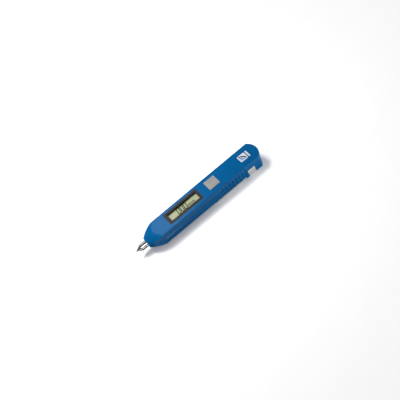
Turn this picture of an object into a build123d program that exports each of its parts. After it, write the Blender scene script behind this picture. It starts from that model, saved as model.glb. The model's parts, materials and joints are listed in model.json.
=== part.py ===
"""Pen-type vibration meter: steel contact probe, display, measuring key and pocket clip.

Frame: +X runs from the probe tip to the rear, +Z is the display face, millimetres.
The origin is under the middle of the pen, on the plane of the battery block's underside.
Places along the pen are given as a distance from the probe tip, and at() turns them into X.
"""
from build123d import *
import math
import os

# ---- driving dimensions -------------------------------------------------------------------
LENGTH = 150.0
WIDTH = 22.0
BODY_HEIGHT = 13.2          # slim part of the case
BLOCK_DROP = 2.3            # how far the battery block reaches below the slim part
WALL = 1.6

NOSE_START = 12.7
NOSE_END = 28.0
BLOCK_START = 124.3         # foot of the battery block
BLOCK_RAMP = 1.2
REAR_SAGITTA = 4.6          # bulge of the rear end, seen from above
REAR_LEAN = 1.3             # the rear end leans forward by this much at the underside
EDGE_ROUND = 0.35
REAR_CORNER_ROUND = 0.9
JOINT_CHAMFER = 0.4         # on the lower shell, where the two shells meet
UPPER_CHAMFER = 0.25        # on the upper shell there

PROBE_RADIUS = 3.5
NECK_RADIUS = 3.1           # behind the exposed shank, where the probe enters the nose
SHANK_END = 12.5
CONE_LENGTH = 6.1
TIP_RADIUS = 0.3

BEZEL = (40.4, 80.2, -7.7, 7.7)
WINDOW = (43.8, 77.5, -4.5, 5.1)
LCD = (42.6, 78.8, -6.7, 6.7)
BEZEL_THICK = 1.2
LENS_THICK = 0.6
DISPLAY_AIR_GAP = 0.15
LCD_THICK = 2.0

KEY_CENTRE = 95.25
KEY_SIZE = 12.3
KEY_PROUD = 0.7
KEY_GAP = 0.1
KEY_CORNER = 0.6
KEY_DIMPLE_RADIUS = 3.0
KEY_DIMPLE_DEPTH = 0.4
KEY_FLANGE_THICK = 0.85
SWITCH_REST = 2.7           # the key's stem stands this far above the board

# Stations of the sensor inside the nose, as distances from the probe tip.
SEAL = (14.6, 17.0)
SEAL_RADIUS = 4.1
STUD_END = 19.8             # the probe's stud screws into the sensor base
STUD_RADIUS = 1.5
BASE_FACE = 20.4            # the piezo rings sit on this face of the base
BASE_RADIUS = 4.4
PIEZO_THICK = 1.0
ELECTRODE_THICK = 0.2
MASS_END = 28.4
MASS_RADIUS = 4.1
POST_RADIUS = 1.25
POST_END = 30.8
NUT_THICK = 1.8
NUT_ACROSS_FLATS = 5.0
CAN = (19.4, 32.0)
CAN_RADIUS = 4.8
CAN_WALL = 0.4
ISOLATORS = [(24.2, 26.2), (29.0, 31.0)]
ISOLATOR_RADIUS = 5.5
SENSOR_BAY_END = 34.0

CELL_RADIUS = 5.8
CELL_THICK = 5.4
CELL_COUNT = 3
CELL_START = 127.7
TRAY = (126.0, 144.4)       # inside length of the cell tray
TRAY_HALF_WIDTH = 7.2
TRAY_TOP = 13.6
STRIP_THICK = 0.25          # contact strips
DOOR = (127.2, 143.4)
DOOR_HALF_WIDTH = 7.0
FIT_GAP = 0.1               # round parts that come out
SEAT_GAP = 0.05             # round parts that are glued in

CLIP_STEEL = 0.5
CLIP_BAND = (128.6, 136.9)
CLIP_TOP = 8.0
CLIP_HALF_WIDTH = 10.9
CLIP_NECK = 6.0
CLIP_FREE_END = 87.0
CLIP_FLANGE_BOTTOM = 0.25   # the tongue's sides are turned down to here
CLIP_LEVEL = 1.85           # height of the tongue's middle surface
CLIP_BAND_HALF = 10.6       # outside the band's two legs
CLIP_UNDERSIDE = 0.1        # the band and the rivets stay this far above the resting plane
RIVET_RADIUS = 0.9
RIVET_Y = 4.0

GROOVE_COUNT = 8
GROOVE_FIRST = 98.3
GROOVE_PITCH = 3.94
GROOVE_RADIUS = 1.0
GROOVE_DEPTH = 0.5
GROOVE_TOP = 14.2
GROOVE_BOTTOM = 4.35
GROOVE_JOINT_GAP = 0.35     # the grooves stop this far from the joint line

BADGE = (129.1, 137.5)
BADGE_BAR = (138.6, 140.2)
BADGE_HALF_WIDTH = 4.2
BADGE_DEPTH = 0.3

BOSS_RADIUS = 2.3
SCREW_HEAD_RADIUS = 1.9
SCREW_HEAD = (2.6, 3.8)     # height of the head's underside and top
SCREW_RADIUS = 1.0
SCREW_END = 12.4
SCREW_PLACES = [(36.5, -6.5), (36.5, 6.5), (119.0, -6.5), (119.0, 6.5)]

# ---- values worked out from them ----------------------------------------------------------
HALF = WIDTH / 2
TOP = BLOCK_DROP + BODY_HEIGHT
MID = BLOCK_DROP + BODY_HEIGHT / 2
REAR_RADIUS = (HALF ** 2 + REAR_SAGITTA ** 2) / (2 * REAR_SAGITTA)
REAR_ANGLE = math.pi / 2 - math.atan(REAR_LEAN / TOP)
REAR_EASE = EDGE_ROUND / math.tan(REAR_ANGLE / 2) - EDGE_ROUND    # taken off by the edge's rounding
CEILING = TOP - WALL
BOARD_BOTTOM = MID
BOARD_TOP = BOARD_BOTTOM + 1.0
PIEZO_END = BASE_FACE + 2 * PIEZO_THICK + ELECTRODE_THICK
LENS_TOP = TOP - BEZEL_THICK
LENS_BOTTOM = LENS_TOP - LENS_THICK
LCD_TOP = LENS_BOTTOM - DISPLAY_AIR_GAP
LCD_BOTTOM = LCD_TOP - LCD_THICK
CELL_Z = WALL + 0.35 + CELL_RADIUS
CELL_END = CELL_START + CELL_COUNT * CELL_THICK
CLIP_BAND_MIDDLE = (CLIP_BAND[0] + CLIP_BAND[1]) / 2


def at(distance):
    """X of a place given as its distance from the probe tip."""
    return distance - LENGTH / 2


def block(s0, s1, y0, y1, z0, z1):
    """Box between two distances along the pen, two Y values and two Z values."""
    centre = Pos((at(s0) + at(s1)) / 2, (y0 + y1) / 2, (z0 + z1) / 2)
    return centre * Box(s1 - s0, y1 - y0, z1 - z0)


def widened(outline, gap, z0, z1):
    """Box over an outline of two distances and two Y values, larger by a gap all round."""
    s0, s1, y0, y1 = outline
    return block(s0 - gap, s1 + gap, y0 - gap, y1 + gap, z0, z1)


def rounded_block(s0, s1, y0, y1, z0, z1, radius):
    """Box with its four upright edges rounded."""
    outline = RectangleRounded(s1 - s0, y1 - y0, radius)
    return Pos((at(s0) + at(s1)) / 2, (y0 + y1) / 2, z0) * extrude(outline, z1 - z0)


def rod(s0, s1, radius, y=0.0, z=MID):
    """Cylinder lying along the pen."""
    return Pos((at(s0) + at(s1)) / 2, y, z) * Rot(0, 90, 0) * Cylinder(radius, s1 - s0)


def ring(s0, s1, inner, outer):
    """Ring round the probe's axis."""
    return rod(s0, s1, outer) - rod(s0 - 1, s1 + 1, inner)


def post(s, y, radius, z0, z1):
    """Upright cylinder."""
    return Pos(at(s), y, (z0 + z1) / 2) * Cylinder(radius, z1 - z0)


def side_profile(points, y0, y1):
    """Outline in distance and Z, extruded from y0 to y1."""
    corners = [(at(s), z) for s, z in points]
    face = Plane.XZ * make_face(Polyline(*corners, corners[0]))
    return Pos(0, y1, 0) * extrude(face, y1 - y0)


def group(solids):
    """Separate solids kept together in one node."""
    return Compound(children=[s for part in solids for s in part.solids()])


# ---- case ---------------------------------------------------------------------------------
def nose_section(s, half_width, edge, crown):
    """Section of the nose: upright sides, arched top and underside."""
    outline = Line((half_width, -edge), (half_width, edge))
    outline += ThreePointArc((half_width, edge), (0, crown), (-half_width, edge))
    outline += Line((-half_width, edge), (-half_width, -edge))
    outline += ThreePointArc((-half_width, -edge), (0, -crown), (half_width, -edge))
    plane = Plane(origin=(at(s), 0, MID), x_dir=(0, 1, 0), z_dir=(1, 0, 0))
    return plane * make_face(outline)


def rear_trim(inset):
    """Everything in front of the rear end, which is an arc from above and leans forward."""
    radius = REAR_RADIUS - inset
    centre = LENGTH + REAR_EASE - REAR_RADIUS
    side = HALF + 1
    corner = at(centre + math.sqrt(radius ** 2 - side ** 2))
    front = at(-5)
    outline = Polyline((corner, side), (front, side), (front, -side), (corner, -side))
    outline += ThreePointArc((corner, -side), (at(centre + radius), 0), (corner, side))
    lean = Vector(-REAR_LEAN, 0, -TOP)
    return Pos(0, 0, TOP) * extrude(make_face(outline), lean.length, dir=lean.normalized())


def case_form(inset=0.0):
    """Outer shape of the closed case, or the same shape moved inward by inset."""
    half = HALF - inset
    rise = BODY_HEIGHT / 2 - inset
    sections = [
        nose_section(NOSE_START, 5.2 - inset, 2.15 - inset, 4.6 - inset),
        nose_section(19.5, 8.9 - inset, 4.4 - inset, 6.0 - inset),
        nose_section(NOSE_END, half, rise, rise + 0.6),
    ]
    nose = loft(sections) & block(0, NOSE_END, -HALF, HALF, MID - rise, MID + rise)
    middle = block(NOSE_END, LENGTH + 2, -half, half, MID - rise, MID + rise)
    foot = BLOCK_START + inset
    low = side_profile(
        [(foot, BLOCK_DROP + 0.5 + inset), (foot + BLOCK_RAMP, inset), (LENGTH + 2, inset),
         (LENGTH + 2, MID), (foot, MID)], -half, half)
    return (nose + middle + low) & rear_trim(inset)


def grip_grooves():
    """Rows of round-bottomed upright grooves on both flanks, broken at the joint line."""
    rows = [(GROOVE_BOTTOM, MID - GROOVE_JOINT_GAP), (MID + GROOVE_JOINT_GAP, GROOVE_TOP)]
    axis = HALF + GROOVE_RADIUS - GROOVE_DEPTH
    cuts = []
    for index in range(GROOVE_COUNT):
        s = GROOVE_FIRST + index * GROOVE_PITCH
        for side in (-1, 1):
            for z0, z1 in rows:
                cuts.append(post(s, side * axis, GROOVE_RADIUS, z0, z1))
    return cuts


def sensor_bore():
    """Stepped bore in the nose for the probe, its seal and the sensor."""
    return [
        rod(NOSE_START - 1, SEAL[0], NECK_RADIUS + FIT_GAP),
        rod(SEAL[0] - 0.1, SEAL[1], SEAL_RADIUS),
        rod(SEAL[1], CAN[0] - 0.2, BASE_RADIUS + FIT_GAP),
        rod(CAN[0] - 0.2, ISOLATORS[0][0] - 0.2, CAN_RADIUS + FIT_GAP),
        rod(ISOLATORS[0][0] - 0.2, SENSOR_BAY_END, ISOLATOR_RADIUS),
    ]


def eased_form():
    """Outer shape with its long edges and rear corners rounded."""
    form = case_form()
    corners = form.edges().filter_by(lambda e: e.center().X > at(140) and e.length > 8
                                     and abs(abs(e.center().Y) - HALF) < 0.01
                                     and abs(e.tangent_at(0.5).Z) > 0.9)
    form = fillet(corners, REAR_CORNER_ROUND)
    level_edges = form.edges().filter_by(Axis.X).filter_by(lambda e: e.length > 15)
    return fillet(level_edges, EDGE_ROUND)


def hollowed(form):
    """Takes the cavity, the sensor bore and the grip grooves out of a half of the case."""
    form -= case_form(WALL) & block(33.0, LENGTH, -HALF, HALF, 0, TOP)
    for cut in grip_grooves() + sensor_bore():
        form -= cut
    return form


def upper_shell(form):
    """Display half: window, key opening, badge recesses and screw bosses."""
    half = form & block(0, LENGTH, -HALF, HALF, MID, TOP + 1)
    rim = half.faces().sort_by(Axis.Z)[0].edges()
    shell = hollowed(chamfer(rim, UPPER_CHAMFER))
    shell += block(39.6, 81.0, -8.4, 8.4, LCD_TOP - 0.8, CEILING)
    for s, y in SCREW_PLACES:
        shell += post(s, y, BOSS_RADIUS, MID, CEILING + 0.2)
    shell -= widened(BEZEL, SEAT_GAP, LENS_TOP, TOP + 1)
    shell -= widened(LCD, SEAT_GAP, MID, TOP)
    opening = KEY_SIZE / 2 + KEY_GAP
    shell -= rounded_block(KEY_CENTRE - opening, KEY_CENTRE + opening, -opening, opening,
                           CEILING - 1, TOP + 1, KEY_CORNER + KEY_GAP)
    for badge in badge_shapes(TOP - BADGE_DEPTH, TOP + 1, SEAT_GAP):
        shell -= badge
    for s, y in SCREW_PLACES:
        shell -= post(s, y, SCREW_RADIUS, MID - 1, SCREW_END + 0.2)
    return shell


def lower_shell(form):
    """Back half: board ledges, screw bosses, battery opening and clip recess."""
    half = form & block(0, LENGTH, -HALF, HALF, -1, MID)
    rim = half.faces().sort_by(Axis.Z)[-1].edges()
    shell = hollowed(chamfer(rim, JOINT_CHAMFER))
    for side in (-1, 1):
        y0, y1 = sorted((side * 7.9, side * (HALF - WALL + 0.1)))
        shell += block(40.0, 115.0, y0, y1, MID - 1.2, MID)
    for s, y in SCREW_PLACES:
        shell += post(s, y, BOSS_RADIUS + 0.3, BLOCK_DROP + 0.5, MID)
        shell -= post(s, y, SCREW_RADIUS + FIT_GAP, 0, MID + 1)
        shell -= post(s, y, SCREW_HEAD_RADIUS + 0.2, 0, SCREW_HEAD[1])
    opening = (*DOOR, -DOOR_HALF_WIDTH, DOOR_HALF_WIDTH)
    shell -= widened(opening, FIT_GAP, -1, WALL + 0.1)
    band = (CLIP_BAND[0] - FIT_GAP, CLIP_BAND[1] + FIT_GAP)
    shell -= block(*band, -HALF - 1, HALF + 1, -1, CLIP_UNDERSIDE + CLIP_STEEL + 0.1)
    for side in (-1, 1):
        y0, y1 = sorted((side * (CLIP_BAND_HALF - CLIP_STEEL - FIT_GAP), side * (HALF + 1)))
        shell -= block(*band, y0, y1, -1, CLIP_TOP + FIT_GAP)
    return shell - clip_channel()


# ---- display and badge --------------------------------------------------------------------
def display_bezel():
    frame = rounded_block(*BEZEL, LENS_TOP, TOP, 0.4)
    return frame - block(*WINDOW, LENS_TOP - 1, TOP + 1)


def display_lens():
    return block(*LCD, LENS_BOTTOM, LENS_TOP)


def lcd_glass():
    return block(*LCD, LCD_BOTTOM, LCD_TOP)


def zebra_strips():
    """Elastomer strips that join the display to the board."""
    strips = []
    for side in (-1, 1):
        y0, y1 = sorted((side * 5.2, side * 6.5))
        strips.append(block(43.5, 77.9, y0, y1, BOARD_TOP, LCD_BOTTOM))
    return group(strips)


def badge_shapes(z0, z1, margin):
    """Square plain badge and the short bar beside it."""
    half = BADGE_HALF_WIDTH + margin
    plate = rounded_block(BADGE[0] - margin, BADGE[1] + margin, -half, half, z0, z1, 0.9)
    bar = rounded_block(BADGE_BAR[0] - margin, BADGE_BAR[1] + margin, -half, half, z0, z1, 0.4)
    return [plate, bar]


# ---- measuring key ------------------------------------------------------------------------
def key_cap():
    """Square key with a round finger dimple, a retaining flange and a stem."""
    half = KEY_SIZE / 2
    top = TOP + KEY_PROUD
    base = CEILING - SEAT_GAP - KEY_FLANGE_THICK
    cap = rounded_block(KEY_CENTRE - half, KEY_CENTRE + half, -half, half, base, top, KEY_CORNER)
    cap = chamfer(cap.faces().sort_by(Axis.Z)[-1].edges(), 0.25)
    outline = (KEY_CENTRE - half, KEY_CENTRE + half, -half, half)
    cap += widened(outline, 0.9, base, base + KEY_FLANGE_THICK)
    cap += post(KEY_CENTRE, 0, 1.5, BOARD_TOP + SWITCH_REST, CEILING - 0.5)
    ball = (KEY_DIMPLE_RADIUS ** 2 + KEY_DIMPLE_DEPTH ** 2) / (2 * KEY_DIMPLE_DEPTH)
    return cap - Pos(at(KEY_CENTRE), 0, top - KEY_DIMPLE_DEPTH + ball) * Sphere(ball)


def switch_body():
    """Housing of the tact switch, hollow for its plunger and dome."""
    body = block(KEY_CENTRE - 3, KEY_CENTRE + 3, -3, 3, BOARD_TOP, BOARD_TOP + 2.0)
    body -= post(KEY_CENTRE, 0, 2.4, BOARD_TOP + 0.2, BOARD_TOP + 1.4)
    return body - post(KEY_CENTRE, 0, 1.65, BOARD_TOP + 1, BOARD_TOP + 3)


def switch_plunger():
    stem = post(KEY_CENTRE, 0, 1.6, BOARD_TOP + 1.0, BOARD_TOP + SWITCH_REST)
    return stem + post(KEY_CENTRE, 0, 2.2, BOARD_TOP + 1.0, BOARD_TOP + 1.3)


def switch_dome():
    return post(KEY_CENTRE, 0, 2.3, BOARD_TOP + 0.2, BOARD_TOP + 0.35)


# ---- electronics --------------------------------------------------------------------------
def circuit_board():
    """Board with a tongue at the front and notches at the sides, clear of the screw bosses."""
    board = block(34.6, 125.0, -8.8, 8.8, BOARD_BOTTOM, BOARD_TOP)
    for s, y in SCREW_PLACES:
        notch_start = NOSE_END if s < KEY_CENTRE else s - 2.7
        y0, y1 = sorted((math.copysign(3.8, y), math.copysign(HALF, y)))
        board -= block(notch_start, s + 2.7, y0, y1, 0, TOP)
    return board


def processor_chip():
    return block(104.0, 114.0, -5, 5, BOARD_TOP, BOARD_TOP + 1.4)


def amplifier_chip():
    return block(44.0, 49.0, -2, 2, BOARD_BOTTOM - 1.5, BOARD_BOTTOM)


def crystal_can():
    return rounded_block(100.0, 108.0, -1.8, 1.8, BOARD_BOTTOM - 2.2, BOARD_BOTTOM, 1.7)


def capacitors():
    chips = []
    for index in range(5):
        s = 54.0 + index * 6.0
        chips.append(block(s, s + 3.2, -0.8, 0.8, BOARD_BOTTOM - 1.1, BOARD_BOTTOM))
    return group(chips)


def sensor_wires():
    """Two thin leads from the sensor's rear to the top of the board."""
    wires = []
    for y in (-0.45, 0.45):
        points = [(at(31.7), y, MID), (at(33.0), y, MID), (at(33.0), y, BOARD_TOP + 0.9),
                  (at(36.2), y, BOARD_TOP + 0.9), (at(36.2), y, BOARD_TOP)]
        path = FilletPolyline(*points, radius=0.6)
        section = Plane(origin=path @ 0, z_dir=path % 0) * Circle(0.3)
        wires.append(sweep(section, path=path))
    return group(wires)


# ---- probe and sensor ---------------------------------------------------------------------
def probe_tip():
    """Hardened contact cone with a stud that screws into the sensor base."""
    cone = Pos(at(CONE_LENGTH / 2), 0, MID) * Rot(0, 90, 0) * Cone(TIP_RADIUS, PROBE_RADIUS, CONE_LENGTH)
    shank = rod(CONE_LENGTH, SHANK_END, PROBE_RADIUS)
    neck = rod(SHANK_END, SEAL[1], NECK_RADIUS)
    return cone + shank + neck + rod(SEAL[1], STUD_END, STUD_RADIUS)


def probe_seal():
    return ring(*SEAL, NECK_RADIUS, SEAL_RADIUS)


def sensor_base():
    base = rod(SEAL[1], BASE_FACE, BASE_RADIUS) - rod(SEAL[1] - 1, STUD_END + 0.2, STUD_RADIUS)
    return base + rod(BASE_FACE, POST_END, POST_RADIUS)


def piezo_rings():
    rings = []
    for start in (BASE_FACE, PIEZO_END - PIEZO_THICK):
        rings.append(ring(start, start + PIEZO_THICK, 1.6, 3.9))
    return group(rings)


def electrode_ring():
    start = BASE_FACE + PIEZO_THICK
    return ring(start, start + ELECTRODE_THICK, 1.6, 4.1)


def seismic_mass():
    return ring(PIEZO_END, MASS_END, POST_RADIUS + FIT_GAP, MASS_RADIUS)


def mass_nut():
    across_corners = NUT_ACROSS_FLATS / math.sqrt(3)
    hexagon = Plane(origin=(at(MASS_END), 0, MID), z_dir=(1, 0, 0)) * RegularPolygon(across_corners, 6)
    return extrude(hexagon, NUT_THICK) - rod(MASS_END - 1, CAN[1], POST_RADIUS)


def sensor_can():
    lid = CAN[1] - CAN_WALL
    can = ring(CAN[0], lid, CAN_RADIUS - CAN_WALL, CAN_RADIUS)
    return can + ring(lid, CAN[1], 0.9, CAN_RADIUS)


def isolation_rings():
    return group([ring(*span, CAN_RADIUS, ISOLATOR_RADIUS) for span in ISOLATORS])


# ---- battery ------------------------------------------------------------------------------
def battery_tray():
    """Cradle for the stack of cells, open below so that they drop out."""
    room = CELL_RADIUS + FIT_GAP
    tray = block(TRAY[0] - 0.4, TRAY[1] + 0.6, -TRAY_HALF_WIDTH, TRAY_HALF_WIDTH, 6.0, TRAY_TOP)
    tray -= rod(*TRAY, room, z=CELL_Z)
    tray -= block(*TRAY, -room, room, 5, CELL_Z)
    tray -= block(CELL_END - 0.1, TRAY[1], -2.1, 2.1, 12.0, TRAY_TOP + 0.4)
    return tray - block(TRAY[0] - 1, TRAY[0] + 0.5, -1.2, 1.2, BOARD_TOP - 0.1, BOARD_TOP + 0.4)


def button_cells():
    """Stack of cells: a rim-rounded can with a smaller negative cap in front."""
    cells = []
    for index in range(CELL_COUNT):
        s = CELL_START + index * CELL_THICK
        can = rod(s + 0.5, s + CELL_THICK, CELL_RADIUS, z=CELL_Z)
        can = chamfer(can.edges().sort_by(Axis.X)[-1], 0.3)
        cells.append(can + rod(s, s + 0.5, 4.9, z=CELL_Z))
    return group(cells)


def contact_positive():
    """Plate on the rear cell with a strip that runs forward over the cells to the board."""
    top = TRAY_TOP + STRIP_THICK
    end = CELL_END + 0.3
    plate = block(CELL_END, end, -2, 2, 4.0, top)
    strip = block(124.0, end, -1.5, 1.5, TRAY_TOP, top)
    leg = block(124.0, 124.0 + STRIP_THICK, -1.5, 1.5, BOARD_TOP, top)
    return plate + strip + leg


def contact_negative():
    """Plate in the front of the tray with a bent leaf that presses on the first cell."""
    front = TRAY[0]
    plate = block(front, front + 0.3, -3.5, 3.5, 4.0, 11.3)
    leaf = side_profile([(front + 0.2, 10.6), (CELL_START, CELL_Z), (front + 0.2, 5.0),
                         (front + 0.2, 5.5), (CELL_START - 0.3, CELL_Z), (front + 0.2, 10.1)], -1.6, 1.6)
    return plate + leaf + block(124.8, front + 0.1, -1.0, 1.0, BOARD_TOP, BOARD_TOP + STRIP_THICK)


def battery_door():
    """Cover of the battery opening, stepped for the clip's web."""
    door = block(*DOOR, -DOOR_HALF_WIDTH, DOOR_HALF_WIDTH, 0, WALL)
    door -= block(CLIP_BAND[0] - FIT_GAP, CLIP_BAND[1] + FIT_GAP, -HALF, HALF,
                  -1, CLIP_UNDERSIDE + CLIP_STEEL)
    door -= clip_channel()
    for hole in rivet_posts(-1, WALL + 1):
        door -= hole
    return door


# ---- pocket clip --------------------------------------------------------------------------
def rivet_posts(z0, z1):
    """Two upright cylinders at the rivets' places."""
    return [post(CLIP_BAND_MIDDLE, y, RIVET_RADIUS, z0, z1) for y in (-RIVET_Y, RIVET_Y)]


def clip_band():
    """U-shaped steel band that grips both flanks of the battery block."""
    inner = CLIP_BAND_HALF - CLIP_STEEL
    web_top = CLIP_UNDERSIDE + CLIP_STEEL
    band = block(*CLIP_BAND, -CLIP_BAND_HALF, CLIP_BAND_HALF, CLIP_UNDERSIDE, CLIP_TOP)
    band -= block(CLIP_BAND[0] - 1, CLIP_BAND[1] + 1, -inner, inner, web_top, CLIP_TOP + 1)
    for hole in rivet_posts(-1, WALL + 1):
        band -= hole
    return band


def clip_rivets():
    """Rivets that hold the band to the door, flush with the band."""
    return group(rivet_posts(CLIP_UNDERSIDE, WALL))


def clip_channel():
    """Room for the tongue's neck under the foot of the battery block."""
    half = CLIP_NECK + 0.2
    return block(BLOCK_START - 1, CLIP_BAND[0], -half, half, -1, 0.95)


def clip_tongue():
    """Spring tongue: sides turned down, a raised bump near the free end and a lip."""
    root = CLIP_UNDERSIDE + CLIP_STEEL / 2
    bump = 1.95
    lip = 0.9
    line = Polyline((at(128.5), root), (at(125.2), root), (at(123.4), CLIP_LEVEL),
                    (at(93.2), CLIP_LEVEL), (at(91.6), bump), (at(90.1), bump),
                    (at(89.0), CLIP_LEVEL), (at(CLIP_FREE_END), lip))
    strip = Plane.XZ * trace(line, CLIP_STEEL)
    strip = Pos(0, CLIP_HALF_WIDTH, 0) * extrude(strip, 2 * CLIP_HALF_WIDTH)
    wide = rounded_block(CLIP_FREE_END - 1, 122.9, -CLIP_HALF_WIDTH, CLIP_HALF_WIDTH, -1, 4, 2.0)
    neck = block(120.0, 129.0, -CLIP_NECK, CLIP_NECK, -1, 4)
    tongue = strip & (wide + neck)
    for side in (-1, 1):
        y0, y1 = sorted((side * (CLIP_HALF_WIDTH - CLIP_STEEL), side * CLIP_HALF_WIDTH))
        tongue += block(89.6, 120.8, y0, y1, CLIP_FLANGE_BOTTOM, CLIP_LEVEL)
    return tongue


# ---- fasteners ----------------------------------------------------------------------------
def case_screws():
    """Four screws with a cross recess in the head."""
    low, high = SCREW_HEAD
    recess = 1.2
    screws = []
    for s, y in SCREW_PLACES:
        screw = post(s, y, SCREW_HEAD_RADIUS, low, high) + post(s, y, SCREW_RADIUS, high, SCREW_END)
        slot = block(s - recess, s + recess, y - 0.2, y + 0.2, low - 0.1, low + 0.5)
        cross = block(s - 0.2, s + 0.2, y - recess, y + recess, low - 0.1, low + 0.5)
        screws.append(screw - slot - cross)
    return group(screws)


def all_nodes():
    form = eased_form()
    return {
        "upper_shell": upper_shell(form),
        "lower_shell": lower_shell(form),
        "display_bezel": display_bezel(),
        "display_lens": display_lens(),
        "lcd_glass": lcd_glass(),
        "zebra_strips": zebra_strips(),
        "badge_plate": group(badge_shapes(TOP - BADGE_DEPTH, TOP + 0.05, 0.0)),
        "key_cap": key_cap(),
        "switch_body": switch_body(),
        "switch_plunger": switch_plunger(),
        "switch_dome": switch_dome(),
        "circuit_board": circuit_board(),
        "processor_chip": processor_chip(),
        "amplifier_chip": amplifier_chip(),
        "crystal_can": crystal_can(),
        "capacitors": capacitors(),
        "sensor_wires": sensor_wires(),
        "probe_tip": probe_tip(),
        "probe_seal": probe_seal(),
        "sensor_base": sensor_base(),
        "piezo_rings": piezo_rings(),
        "electrode_ring": electrode_ring(),
        "seismic_mass": seismic_mass(),
        "mass_nut": mass_nut(),
        "sensor_can": sensor_can(),
        "isolation_rings": isolation_rings(),
        "battery_tray": battery_tray(),
        "button_cells": button_cells(),
        "contact_positive": contact_positive(),
        "contact_negative": contact_negative(),
        "battery_door": battery_door(),
        "clip_band": clip_band(),
        "clip_rivets": clip_rivets(),
        "clip_tongue": clip_tongue(),
        "case_screws": case_screws(),
    }


os.makedirs("parts", exist_ok=True)
for name, shape in all_nodes().items():
    export_step(shape, "parts/" + name + ".step")
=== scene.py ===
"""Looks of the pen-type vibration meter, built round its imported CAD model."""
import json
import math

import bmesh
import bpy
from mathutils import Matrix, Vector


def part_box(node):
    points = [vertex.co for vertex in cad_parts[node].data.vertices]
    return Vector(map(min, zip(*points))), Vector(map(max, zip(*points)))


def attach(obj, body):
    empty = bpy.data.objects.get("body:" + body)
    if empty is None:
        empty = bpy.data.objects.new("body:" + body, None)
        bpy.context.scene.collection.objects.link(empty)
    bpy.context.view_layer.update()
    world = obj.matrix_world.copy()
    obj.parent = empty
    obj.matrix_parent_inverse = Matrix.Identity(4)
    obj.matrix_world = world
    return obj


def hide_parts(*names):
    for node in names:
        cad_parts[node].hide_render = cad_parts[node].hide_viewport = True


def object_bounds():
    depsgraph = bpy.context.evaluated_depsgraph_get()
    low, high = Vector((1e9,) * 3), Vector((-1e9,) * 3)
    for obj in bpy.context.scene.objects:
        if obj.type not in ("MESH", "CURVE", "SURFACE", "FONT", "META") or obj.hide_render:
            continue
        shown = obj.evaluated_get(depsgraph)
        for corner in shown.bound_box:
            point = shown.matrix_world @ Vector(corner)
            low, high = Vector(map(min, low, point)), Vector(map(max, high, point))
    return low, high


MM = 0.001

# The camera, as angles and a distance from a point near the pen's middle.
VIEW_AZIMUTH = math.radians(-10.5)
VIEW_ELEVATION = math.radians(49.3)
VIEW_ROLL = math.radians(-31.8)
VIEW_DISTANCE = 0.755
VIEW_LENS = 72.2
VIEW_TARGET_SHIFT = Vector((1.9, -1.3, 0.0)) * MM
VIEW_TARGET_HEIGHT = 3.5 * MM           # above the probe's lowest line


# ---- node helpers -------------------------------------------------------------------------
def new_material(name):
    """A material with an empty Principled shader, and its node tree."""
    material = bpy.data.materials.new(name)
    material.use_nodes = True
    tree = material.node_tree
    return material, tree, tree.nodes["Principled BSDF"]


def object_coordinates(tree):
    return tree.nodes.new("ShaderNodeTexCoord").outputs["Object"]


def stretched(tree, vector, scale):
    mapping = tree.nodes.new("ShaderNodeMapping")
    mapping.inputs["Scale"].default_value = scale
    tree.links.new(vector, mapping.inputs["Vector"])
    return mapping.outputs["Vector"]


def noise(tree, vector, scale, detail=3.0):
    node = tree.nodes.new("ShaderNodeTexNoise")
    node.inputs["Scale"].default_value = scale
    node.inputs["Detail"].default_value = detail
    tree.links.new(vector, node.inputs["Vector"])
    return node.outputs["Fac"]


def ramp(tree, value, low, high, start=0.3, end=0.7):
    """Colour ramp from low to high; a plain number gives a grey."""
    node = tree.nodes.new("ShaderNodeValToRGB")
    for element, place, colour in zip(node.color_ramp.elements, (start, end), (low, high)):
        element.position = place
        element.color = colour if isinstance(colour, tuple) else (colour, colour, colour, 1)
    tree.links.new(value, node.inputs["Fac"])
    return node.outputs["Color"]


def bump(tree, height, shader, strength, distance):
    node = tree.nodes.new("ShaderNodeBump")
    node.inputs["Strength"].default_value = strength
    node.inputs["Distance"].default_value = distance
    tree.links.new(height, node.inputs["Height"])
    tree.links.new(node.outputs["Normal"], shader.inputs["Normal"])


def shaded(colour, factor):
    return tuple(min(1.0, c * factor) for c in colour) + (1.0,)


# ---- materials ----------------------------------------------------------------------------
GRAIN_DEPTH = 0.04 * MM
BRUSHED_DEPTH = 0.008 * MM


def moulded_plastic(name, colour, roughness, grain=9000.0, texture=0.12, specular=0.4):
    """Moulded plastic: a slow drift in tone, and a fine spark-eroded grain in relief and gloss."""
    material, tree, shader = new_material(name)
    place = object_coordinates(tree)
    drift = noise(tree, place, scale=60.0)
    tree.links.new(ramp(tree, drift, shaded(colour, 0.93), shaded(colour, 1.06)),
                   shader.inputs["Base Color"])
    fine = noise(tree, place, grain, detail=2.0)
    tree.links.new(ramp(tree, fine, roughness - 0.05, roughness + 0.06),
                   shader.inputs["Roughness"])
    bump(tree, fine, shader, texture, GRAIN_DEPTH)
    shader.inputs["Specular IOR Level"].default_value = specular
    return material


def brushed_metal(name, colour, roughness, stretch, texture=0.15):
    """Metal with fine lines; stretch is small along the lines and large across them."""
    material, tree, shader = new_material(name)
    place = stretched(tree, object_coordinates(tree), stretch)
    lines = noise(tree, place, scale=3600.0, detail=4.0)
    tree.links.new(ramp(tree, lines, shaded(colour, 0.88), shaded(colour, 1.06)),
                   shader.inputs["Base Color"])
    tree.links.new(ramp(tree, lines, roughness - 0.05, roughness + 0.08),
                   shader.inputs["Roughness"])
    bump(tree, lines, shader, texture, BRUSHED_DEPTH)
    shader.inputs["Metallic"].default_value = 1.0
    return material


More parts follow.
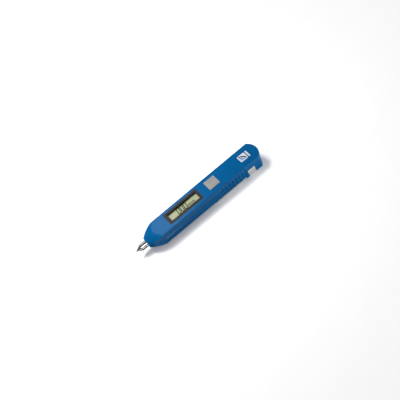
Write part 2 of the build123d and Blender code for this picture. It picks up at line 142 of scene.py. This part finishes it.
def clear_plastic(name):
    """Thin display window, almost clear, with a slightly matt surface."""
    material, tree, shader = new_material(name)
    haze = noise(tree, object_coordinates(tree), scale=400.0)
    tree.links.new(ramp(tree, haze, 0.20, 0.26), shader.inputs["Roughness"])
    shader.inputs["Base Color"].default_value = (0.02, 0.02, 0.02, 1)
    shader.inputs["Alpha"].default_value = 0.05
    shader.inputs["IOR"].default_value = 1.49
    return material


LCD_LIT = (0.42, 0.455, 0.27, 1)
# Painted shade: a dark olive band on the backing stands in for the shadow of the bezel's far wall.
LCD_PAINTED_SHADE = (0.15, 0.175, 0.06, 1)
LCD_SHADE_START = 3.0 * MM       # painted shade: the backing darkens between these two Y
LCD_SHADE_END = 5.2 * MM


def display_glass(name):
    """Reflective liquid-crystal backing, grey-green, with painted shade of the recess along its
    far edge.
    """
    material, tree, shader = new_material(name)
    place = object_coordinates(tree)
    axes = tree.nodes.new("ShaderNodeSeparateXYZ")
    tree.links.new(place, axes.inputs["Vector"])
    across = tree.nodes.new("ShaderNodeMapRange")
    across.inputs["From Min"].default_value = LCD_SHADE_START
    across.inputs["From Max"].default_value = LCD_SHADE_END
    tree.links.new(axes.outputs["Y"], across.inputs["Value"])
    tree.links.new(ramp(tree, across.outputs["Result"], LCD_LIT, LCD_PAINTED_SHADE, start=0.1, end=0.9),
                   shader.inputs["Base Color"])
    speckle = noise(tree, place, scale=1500.0, detail=2.0)
    tree.links.new(ramp(tree, speckle, 0.5, 0.6), shader.inputs["Roughness"])
    return material


def circuit_laminate(name):
    """Green solder mask over faint copper tracks."""
    material, tree, shader = new_material(name)
    tracks = tree.nodes.new("ShaderNodeTexBrick")
    tracks.inputs["Scale"].default_value = 260.0
    tracks.inputs["Mortar Size"].default_value = 0.03
    tracks.inputs["Color1"].default_value = (0.012, 0.13, 0.045, 1)
    tracks.inputs["Color2"].default_value = (0.016, 0.15, 0.055, 1)
    tracks.inputs["Mortar"].default_value = (0.05, 0.24, 0.10, 1)
    tree.links.new(object_coordinates(tree), tracks.inputs["Vector"])
    tree.links.new(tracks.outputs["Color"], shader.inputs["Base Color"])
    shader.inputs["Roughness"].default_value = 0.35
    return material


def ink(name):
    """Dark liquid-crystal segment."""
    material, tree, shader = new_material(name)
    tone = noise(tree, object_coordinates(tree), scale=3000.0)
    tree.links.new(ramp(tree, tone, (0.012, 0.013, 0.006, 1), (0.022, 0.023, 0.012, 1)),
                   shader.inputs["Base Color"])
    shader.inputs["Roughness"].default_value = 0.6
    return material


FLOOR_GLOW = 0.17       # keeps the paper white where the lights fall off


def floor_paper(name):
    """Seamless white paper that glows faintly all over, as on a light table."""
    material, tree, shader = new_material(name)
    tone = noise(tree, object_coordinates(tree), scale=40.0)
    tree.links.new(ramp(tree, tone, 0.955, 0.97), shader.inputs["Base Color"])
    shader.inputs["Emission Color"].default_value = (1.0, 1.0, 1.0, 1)
    shader.inputs["Emission Strength"].default_value = FLOOR_GLOW
    shader.inputs["Roughness"].default_value = 0.9
    shader.inputs["Specular IOR Level"].default_value = 0.1
    return material


def all_materials():
    """One material per slot of the record, and those of the added pieces and the floor."""
    along = (0.06, 1.0, 1.0)
    around = (1.0, 0.12, 0.12)
    return {
        "case_blue": moulded_plastic("case_blue", (0.0, 0.088, 0.25), 0.17, specular=0.10),
        "bezel_grey": moulded_plastic("bezel_grey", (0.033, 0.031, 0.032), 0.42, specular=0.15),
        "clear_window": clear_plastic("clear_window"),
        "lcd": display_glass("lcd"),
        "badge": moulded_plastic("badge", (0.60, 0.65, 0.70), 0.34),      # matt silver paint
        "key_grey": moulded_plastic("key_grey", (0.27, 0.27, 0.27), 0.36,
                                    grain=12000.0, texture=0.08),
        "black_plastic": moulded_plastic("black_plastic", (0.022, 0.022, 0.024), 0.48),
        "steel": brushed_metal("steel", (0.68, 0.68, 0.67), 0.34, along),
        "polished_steel": brushed_metal("polished_steel", (0.46, 0.46, 0.46), 0.13, around,
                                        texture=0.06),
        "rubber": moulded_plastic("rubber", (0.018, 0.018, 0.018), 0.72),
        "board": circuit_laminate("board"),
        "brass": brushed_metal("brass", (0.78, 0.57, 0.24), 0.28, along),
        "ceramic": moulded_plastic("ceramic", (0.62, 0.56, 0.44), 0.55),
        "wire_red": moulded_plastic("wire_red", (0.42, 0.02, 0.02), 0.38),
        "ink": ink("lcd_ink"),
        "badge_blue": moulded_plastic("badge_blue", (0.02, 0.16, 0.42), 0.34),
        "badge_dark": moulded_plastic("badge_dark", (0.012, 0.016, 0.026), 0.34),
        "floor": floor_paper("floor_paper"),
    }


# ---- mesh helpers -------------------------------------------------------------------------
def mesh_object(name, build, material):
    """An object whose mesh the build function fills."""
    mesh = bpy.data.meshes.new(name)
    work = bmesh.new()
    build(work)
    bmesh.ops.recalc_face_normals(work, faces=work.faces)
    work.to_mesh(mesh)
    work.free()
    mesh.materials.append(material)
    piece = bpy.data.objects.new(name, mesh)
    bpy.context.scene.collection.objects.link(piece)
    return piece


def slab(work, outline, z0, z1):
    """Closed slab over an outline of (x, y) points."""
    low = [work.verts.new((x, y, z0)) for x, y in outline]
    high = [work.verts.new((x, y, z1)) for x, y in outline]
    work.faces.new(list(reversed(low)))
    work.faces.new(high)
    count = len(outline)
    for i in range(count):
        j = (i + 1) % count
        work.faces.new((low[i], low[j], high[j], high[i]))


BAR_POINT = 0.2         # length of a bar's pointed end, in widths


def bar_outline(start, end, width):
    """Six-sided bar with bluntly pointed ends, from one point to the other."""
    heading = (end - start).normalized()
    side = Vector((-heading.y, heading.x)) * width / 2
    taper = heading * width * BAR_POINT
    points = [start, start + taper - side, end - taper - side, end,
              end - taper + side, start + taper + side]
    return [(point.x, point.y) for point in points]


# ---- display ------------------------------------------------------------------------------
# The six lit segments of a zero, each between two points in widths and heights of the digit.
ZERO = [
    ((0, 1), (1, 1)),
    ((0, 0.5), (0, 1)),
    ((1, 0.5), (1, 1)),
    ((0, 0), (0, 0.5)),
    ((1, 0), (1, 0.5)),
    ((0, 0), (1, 0)),
]
DIGITS = 3
DIGIT = Vector((2.6, 7.4)) * MM
DIGIT_PITCH = 3.95 * MM
DIGIT_SLANT = 0.11
SEGMENT_WIDTH = 0.95 * MM
SEGMENT_GAP = 0.05 * MM
POINT = Vector((0.7, 0.6)) * MM         # decimal point
POINT_AFTER = 2                         # digits before the decimal point
READING_CORNER = Vector((10.3, 4.2)) * MM       # from the display glass's lower left corner
STROKE_BOTTOM = 0.02 * MM               # above the display glass
STROKE_TOP = 0.06 * MM
UNIT_TUCK = 0.3 * MM                    # how far the unit starts inside the last digit's pitch
UNIT_HEIGHT = 2.5 * MM
UNIT_STEP = 1.05 * MM                   # between the legs of an m
UNIT_LETTER_GAP = 0.7 * MM
UNIT_SLASH_LEAN = 0.6 * MM
UNIT_SLASH_RISE = 1.25                  # in heights of the unit
UNIT_SLASH_PITCH = 1.15 * MM
UNIT_S_WIDTH = 1.1 * MM
UNIT_LINE = 0.5 * MM


class Reading:
    """Draws liquid-crystal strokes in the air gap above the display glass."""

    def __init__(self, work):
        low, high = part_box("lcd_glass")
        self.work = work
        self.z0 = high.z + STROKE_BOTTOM
        self.z1 = high.z + STROKE_TOP
        self.left = low.x + READING_CORNER.x
        self.base = low.y + READING_CORNER.y

    def stroke(self, start, end, width, gap=0.0):
        """Bar between two points counted from the reading's lower left corner."""
        ends = []
        for x, y in (start, end):
            ends.append(Vector((self.left + x + DIGIT_SLANT * y, self.base + y)))
        along = (ends[1] - ends[0]).normalized() * gap
        outline = bar_outline(ends[0] + along, ends[1] - along, width)
        slab(self.work, outline, self.z0, self.z1)


def lcd_digits(work):
    """Three zeros and a decimal point."""
    reading = Reading(work)
    for index in range(DIGITS):
        x = index * DIGIT_PITCH
        for (u0, v0), (u1, v1) in ZERO:
            reading.stroke((x + u0 * DIGIT.x, v0 * DIGIT.y), (x + u1 * DIGIT.x, v1 * DIGIT.y),
                           SEGMENT_WIDTH, SEGMENT_GAP)
    middle = POINT_AFTER * DIGIT_PITCH - (DIGIT_PITCH - DIGIT.x) / 2
    reading.stroke((middle - POINT.x / 2, 0), (middle + POINT.x / 2, 0), POINT.y)


def lcd_unit(work):
    """The unit of vibration speed, millimetres per second, in small strokes."""
    reading = Reading(work)
    x = DIGITS * DIGIT_PITCH - UNIT_TUCK
    for _ in range(2):
        for leg in range(3):
            foot = x + leg * UNIT_STEP
            reading.stroke((foot, 0), (foot, UNIT_HEIGHT), UNIT_LINE)
        reading.stroke((x, UNIT_HEIGHT), (x + 2 * UNIT_STEP, UNIT_HEIGHT), UNIT_LINE)
        x += 2 * UNIT_STEP + UNIT_LETTER_GAP
    reading.stroke((x, 0), (x + UNIT_SLASH_LEAN, UNIT_SLASH_RISE * UNIT_HEIGHT), UNIT_LINE)
    x += UNIT_SLASH_PITCH
    right = x + UNIT_S_WIDTH
    for level in range(3):
        y = level * UNIT_HEIGHT / 2
        reading.stroke((x, y), (right, y), UNIT_LINE)
    reading.stroke((right, 0), (right, UNIT_HEIGHT / 2), UNIT_LINE)
    reading.stroke((x, UNIT_HEIGHT / 2), (x, UNIT_HEIGHT), UNIT_LINE)


def display_reading(materials):
    for name, build in (("lcd_digits", lcd_digits), ("lcd_unit", lcd_unit)):
        piece = mesh_object(name, build, materials["ink"])
        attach(piece, "case")


# ---- badge --------------------------------------------------------------------------------
BADGE_CORNER = Vector((1.0, 1.1)) * MM          # where the arcs start, inside the plate
ARC_STEPS = 20
ARC_SINK = 0.01 * MM                    # into the plate
ARC_RISE = 0.03 * MM                    # above it
# Name, inner radius, outer radius, material.
BADGE_ARCS = [
    ("badge_wave_inner", 1.3 * MM, 2.3 * MM, "badge_blue"),
    ("badge_wave_middle", 3.1 * MM, 4.1 * MM, "badge_blue"),
    ("badge_wave_outer", 4.9 * MM, 6.3 * MM, "badge_dark"),
]


def arc_band(work, corner, inner, outer, z0, z1):
    """Quarter of a flat ring round a corner point."""
    outline = []
    for radius, order in ((inner, range(ARC_STEPS + 1)), (outer, range(ARC_STEPS, -1, -1))):
        for step in order:
            angle = math.pi / 2 * step / ARC_STEPS
            outline.append((corner.x + radius * math.cos(angle),
                            corner.y + radius * math.sin(angle)))
    slab(work, outline, z0, z1)


def badge_waves(materials):
    """Plain arcs on the badge, spreading from one corner: two blue ones and a dark one."""
    low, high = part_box("badge_plate")
    corner = Vector((low.x + BADGE_CORNER.x, low.y + BADGE_CORNER.y))
    for name, inner, outer, finish in BADGE_ARCS:
        def build(work):
            arc_band(work, corner, inner, outer, high.z - ARC_SINK, high.z + ARC_RISE)

        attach(mesh_object(name, build, materials[finish]), "case")


# ---- probe --------------------------------------------------------------------------------
PROBE_SIDES = 96
SHARP_EDGE = math.radians(20)
# The probe's profile is in millimetres.
SHANK_RADIUS = 3.5
NECK_RADIUS = 3.1
STUD_RADIUS = 1.5
RELIEF_DEPTH = 0.08
RELIEF_WIDTH = 0.28


def relief_line(start):
    """Points of one fine groove round the shank, with sides at 45 degrees."""
    bottom = SHANK_RADIUS - RELIEF_DEPTH
    end = start + RELIEF_WIDTH
    return [(start, SHANK_RADIUS), (start + RELIEF_DEPTH, bottom),
            (end - RELIEF_DEPTH, bottom), (end, SHANK_RADIUS)]


# Distance from the tip and radius: blunted cone, eased shoulder, shank with two relief lines,
# neck and stud.
PROBE_PROFILE = [
    (0.0, 0.0), (0.04, 0.18), (0.14, 0.30), (5.95, 3.36),
    (6.05, 3.44), (6.20, SHANK_RADIUS),
    *relief_line(7.40),
    *relief_line(11.0),
    (12.38, SHANK_RADIUS), (12.5, 3.4),
    (12.5, NECK_RADIUS), (17.0, NECK_RADIUS),
    (17.0, STUD_RADIUS), (19.6, STUD_RADIUS), (19.8, 1.3), (19.8, 0.0),
]


def probe_ring(work, x, centre, radius):
    """Vertices of one ring of the probe, or a single one on its axis."""
    if radius == 0.0:
        return [work.verts.new((x, 0, centre))]
    ring = []
    for side in range(PROBE_SIDES):
        angle = 2 * math.pi * side / PROBE_SIDES
        y = radius * math.cos(angle)
        z = centre + radius * math.sin(angle)
        ring.append(work.verts.new((x, y, z)))
    return ring


def turned_probe(materials):
    """Lathe-turned probe: contact cone, eased shoulder and two fine relief lines."""
    low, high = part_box("probe_tip")
    centre = (low.z + high.z) / 2
    scale = (high.z - low.z) / 2 / SHANK_RADIUS

    def build(work):
        rings = [probe_ring(work, low.x + s * MM, centre, r * scale) for s, r in PROBE_PROFILE]
        for first, second in zip(rings, rings[1:]):
            for side in range(PROBE_SIDES):
                after = (side + 1) % PROBE_SIDES
                face = [first[side % len(first)], first[after % len(first)],
                        second[after % len(second)], second[side % len(second)]]
                work.faces.new(list(dict.fromkeys(face)))

    piece = mesh_object("turned_probe", build, materials["polished_steel"])
    for polygon in piece.data.polygons:
        polygon.use_smooth = True
    piece.data.set_sharp_from_angle(angle=SHARP_EDGE)
    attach(piece, "case")
    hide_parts("probe_tip")


# ---- stage --------------------------------------------------------------------------------
FLOOR_HALF = 3.0                        # metres
FLOOR_THICK = 0.01
FLAG_HALF = 16.0 * MM
FLAG_SPAN = (-8 * MM, 12 * MM)          # from the probe's tip
FLAG_HEIGHT = (0.2 * MM, 0.4 * MM)      # above the floor
WORLD_STRENGTH = 0.26

# Name, place, target and size in metres, power in watts, and what it lights: matt shading,
# gloss or both.
LIGHTS = [
    ("far_key", (-0.5, 1.5, 2.7), (0, 0, 0), 1.0, 58.0, "matt"),
    ("front_key", (-0.045, 0.06, 0.165), (-0.045, 0, 0), 0.10, 0.20, "matt"),
    ("front_soft_box", (-0.01, 0.29, 0.345), (-0.04, 0, 0.015), 0.11, 0.15, "both"),
    ("rear_fill", (0.11, -0.09, 0.014), (0.07, -0.011, 0.012), 0.022, 0.045, "both"),
    ("joint_light", (-0.03, -0.265, 0.224), (-0.055, -0.011, 0.009), 0.06, 0.26, "gloss"),
]


def add_camera(low, high):
    target = (low + high) / 2
    target.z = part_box("probe_tip")[0].z + VIEW_TARGET_HEIGHT
    target += VIEW_TARGET_SHIFT
    back = Vector((math.sin(VIEW_AZIMUTH) * math.cos(VIEW_ELEVATION),
                   -math.cos(VIEW_AZIMUTH) * math.cos(VIEW_ELEVATION),
                   math.sin(VIEW_ELEVATION)))
    level = Vector((0, 0, 1)).cross(back).normalized()
    upright = back.cross(level)
    right = math.cos(VIEW_ROLL) * level + math.sin(VIEW_ROLL) * upright
    up = back.cross(right)
    data = bpy.data.cameras.new("camera")
    data.lens = VIEW_LENS
    data.clip_start = 0.01
    camera = bpy.data.objects.new("camera", data)
    rotation = Matrix((right, up, back)).transposed().to_4x4()
    camera.matrix_world = Matrix.Translation(target + back * VIEW_DISTANCE) @ rotation
    bpy.context.scene.collection.objects.link(camera)
    bpy.context.scene.camera = camera


def add_area_light(name, place, target, size, power, shine):
    """Square light that the camera doesn't see, for matt shading, gloss or both."""
    data = bpy.data.lights.new(name, "AREA")
    data.size = size
    data.energy = power
    light = bpy.data.objects.new(name, data)
    light.visible_camera = False
    light.visible_glossy = shine != "matt"
    light.visible_diffuse = shine != "gloss"
    aim = (Vector(target) - Vector(place)).to_track_quat("-Z", "Y")
    light.matrix_world = Matrix.Translation(place) @ aim.to_matrix().to_4x4()
    bpy.context.scene.collection.objects.link(light)


def rectangle(x0, x1, y0, y1):
    return [(x0, y0), (x1, y0), (x1, y1), (x0, y1)]


def add_floor(material, height):
    def build(work):
        outline = rectangle(-FLOOR_HALF, FLOOR_HALF, -FLOOR_HALF, FLOOR_HALF)
        slab(work, outline, height - FLOOR_THICK, height)

    floor = mesh_object("floor", build, material)


def add_probe_flag(material, height):
    """Black card above the floor, seen only in reflections, to darken the probe's lower edge."""
    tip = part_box("probe_tip")[0].x
    front, back = FLAG_SPAN
    bottom, top = FLAG_HEIGHT

    def build(work):
        outline = rectangle(tip + front, tip + back, -FLAG_HALF, FLAG_HALF)
        slab(work, outline, height + bottom, height + top)

    flag = mesh_object("probe_flag", build, material)
    flag.visible_camera = False
    flag.visible_diffuse = False
    flag.visible_shadow = False


def add_light():
    """An even white surround and the square lights."""
    world = bpy.data.worlds.new("studio")
    world.use_nodes = True
    background = world.node_tree.nodes["Background"]
    background.inputs["Color"].default_value = (1.0, 1.0, 1.0, 1)
    background.inputs["Strength"].default_value = WORLD_STRENGTH
    bpy.context.scene.world = world
    bpy.context.scene.view_settings.view_transform = "Standard"
    for light in LIGHTS:
        add_area_light(*light)


# ---- the object ---------------------------------------------------------------------------
def dress_nodes(frame, materials):
    """Every CAD node takes the material of its slot in the record."""
    slot_of = {part["node"]: part["material_slot"] for part in frame["record"]["subparts"]}
    for name, node in frame["nodes"].items():
        node.data.materials.clear()
        node.data.materials.append(materials[slot_of[name]])


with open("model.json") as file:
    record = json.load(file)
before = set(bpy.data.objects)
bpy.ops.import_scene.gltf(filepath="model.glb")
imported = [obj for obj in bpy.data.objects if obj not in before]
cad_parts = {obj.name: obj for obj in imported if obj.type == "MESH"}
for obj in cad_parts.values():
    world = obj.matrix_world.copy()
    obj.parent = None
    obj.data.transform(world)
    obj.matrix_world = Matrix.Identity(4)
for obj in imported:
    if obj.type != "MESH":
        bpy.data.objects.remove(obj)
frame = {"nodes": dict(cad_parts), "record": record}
cad_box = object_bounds()
add_camera(*cad_box)
materials = all_materials()
dress_nodes(frame, materials)
display_reading(materials)
badge_waves(materials)
turned_probe(materials)
add_floor(materials["floor"], cad_box[0].z)
add_probe_flag(materials["rubber"], cad_box[0].z)
add_light()
